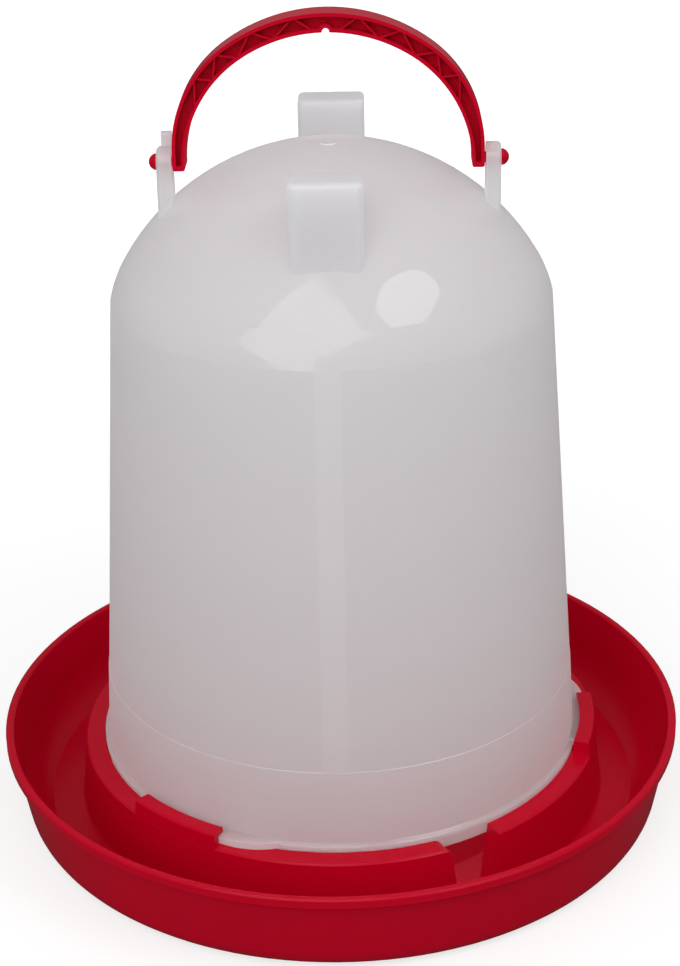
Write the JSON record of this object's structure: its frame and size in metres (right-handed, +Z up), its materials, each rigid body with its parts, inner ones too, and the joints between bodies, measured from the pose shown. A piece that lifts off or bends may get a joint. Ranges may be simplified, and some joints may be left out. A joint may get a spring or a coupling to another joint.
{
  "type": "poultry drinker",
  "caption": "Poultry drinker: a milky domed tank twists into a round red trough tray and is carried by a ribbed red arch handle.",
  "frame": {"origin": "centre of the tray's underside, on the ground", "axes": "+Z up; -Y is the front, with one lug of the tank facing it; the handle's pins lie along X"},
  "size_m": [0.355, 0.355, 0.4142],
  "materials": {
    "red_plastic": "smooth, slightly glossy",
    "milky_plastic": "translucent, waxy satin"
  },
  "bodies": {
    "tray": {"tray": "red_plastic"},
    "tank": {"tank": "milky_plastic"},
    "handle": {"handle": "red_plastic"}
  },
  "joints": [
    {"name": "tank_twist", "type": "hinge", "parent": "tray", "child": "tank", "pos_m": [0, 0, 0.0375], "axis": [0, 0, 1], "range_deg": [0, 83.5]},
    {"name": "handle_swing", "type": "hinge", "parent": "tank", "child": "handle", "pos_m": [0, 0, 0.3439], "axis": [1, 0, 0], "range_deg": [-73, 73]}
  ]
}
